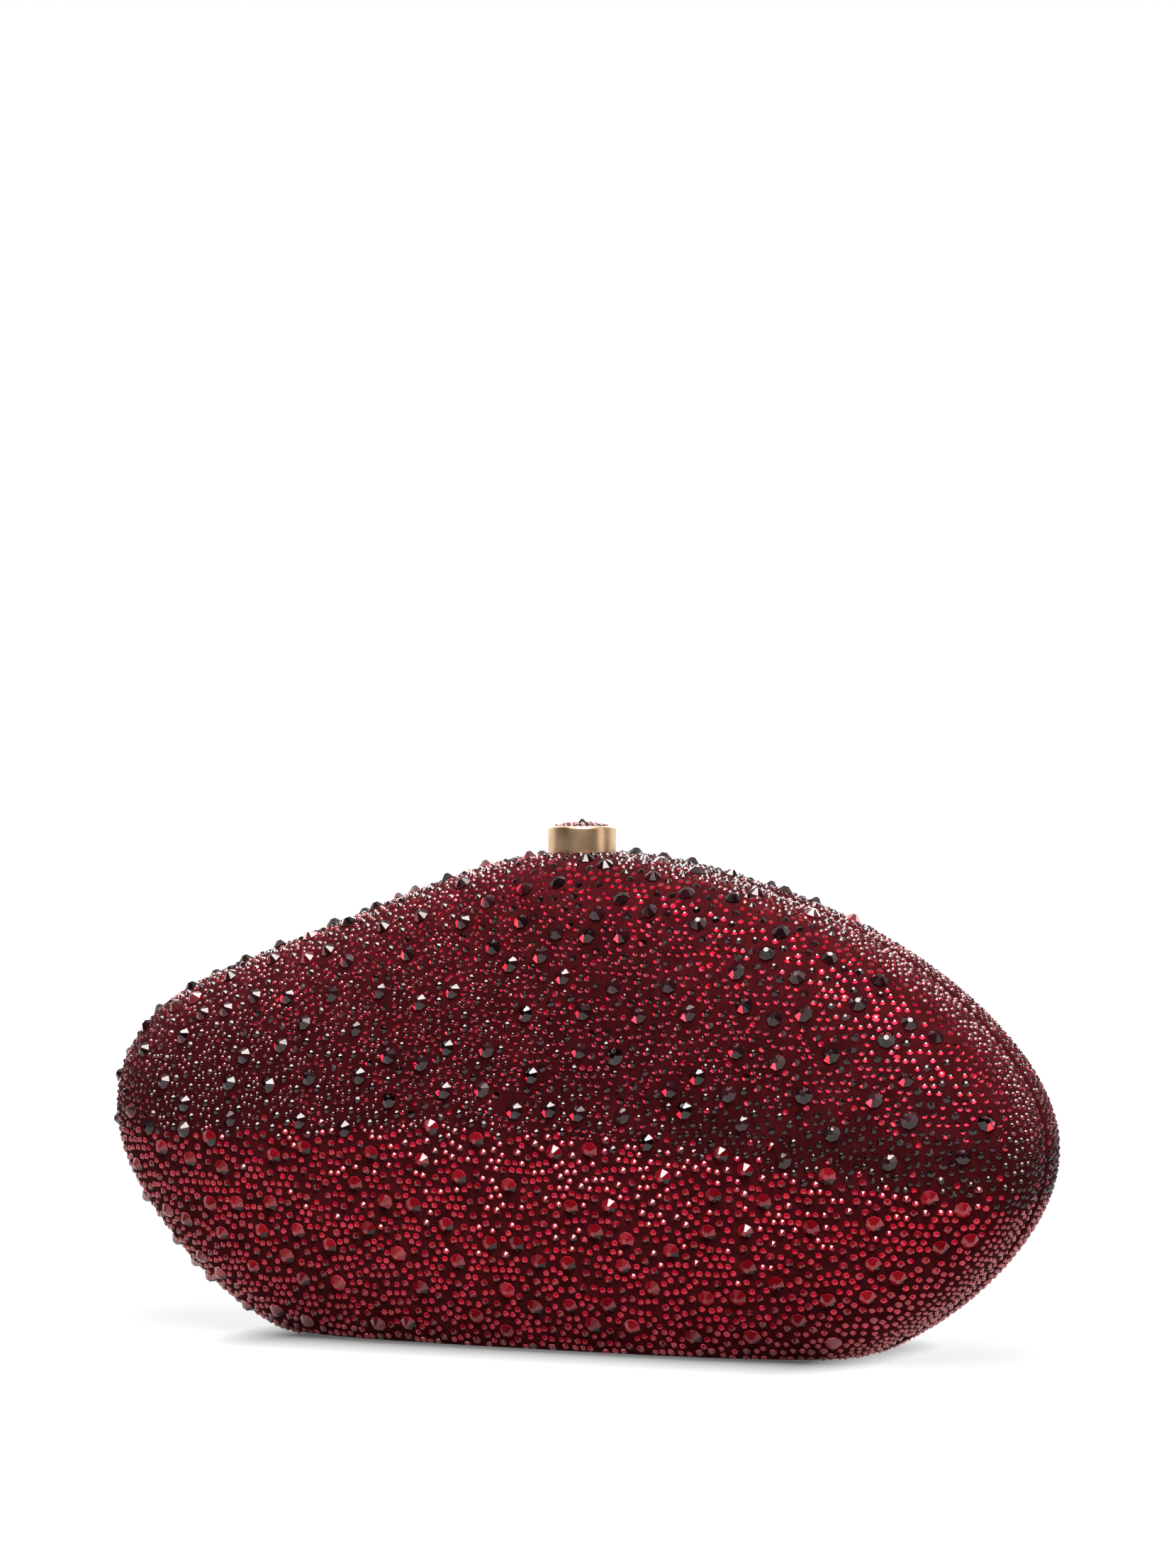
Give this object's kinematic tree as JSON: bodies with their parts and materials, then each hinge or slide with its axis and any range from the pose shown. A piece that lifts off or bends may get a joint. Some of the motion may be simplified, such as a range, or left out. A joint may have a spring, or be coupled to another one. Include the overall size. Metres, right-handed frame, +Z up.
{
  "type": "clutch bag",
  "caption": "Hard-shell evening clutch covered in suede and crystals, with a base hinge, hollow lined halves and a press-button catch on top.",
  "frame": {"origin": "centre of the bag on the flat base it stands on", "axes": "+X along the width to the right seen from the front, -Y towards the front face, +Z up through the press button"},
  "size_m": [0.2264, 0.0592, 0.1169],
  "materials": {
    "suede": "suede, dark burgundy",
    "crystal": "faceted, polished, foil backed",
    "resin_shell": "moulded",
    "satin_lining": "satin",
    "brass_frame": "satin plated",
    "brass_hinge": "tumbled",
    "gold_knob": "brushed antique gold",
    "steel": "plain"
  },
  "bodies": {
    "rear_half": {"rear_cover": "suede", "rear_shell": "resin_shell", "rear_lining": "satin_lining", "rear_frame": "brass_frame", "rear_hinge_leaf": "brass_hinge", "hinge_pin": "steel", "rear_hinge_rivets": "brass_hinge", "rear_crystals": "crystal", "clasp_housing": "brass_frame", "guide_bush": "steel", "return_spring": "steel", "housing_screws": "steel"},
    "front_half": {"front_cover": "suede", "front_shell": "resin_shell", "front_lining": "satin_lining", "front_frame": "brass_frame", "front_hinge_leaf": "brass_hinge", "front_hinge_rivets": "brass_hinge", "front_crystals": "crystal", "catch_yoke": "brass_hinge", "yoke_screws": "steel"},
    "button": {"button_knob": "gold_knob", "button_stem": "steel", "latch_plate": "steel", "latch_retainer": "steel", "button_cap": "suede", "button_crystals": "crystal"}
  },
  "joints": [
    {"name": "front_open", "type": "hinge", "parent": "rear_half", "child": "front_half", "pos_m": [0, 0, 0.0022], "axis": [1, 0, 0], "range_deg": [0, 90]},
    {"name": "button_press", "type": "slide", "parent": "rear_half", "child": "button", "axis": [0, 0, -1], "range_m": [0, 0.002], "stiffness_N_per_m": 400, "springref_m": -0.002, "deforming": ["return_spring"]}
  ]
}
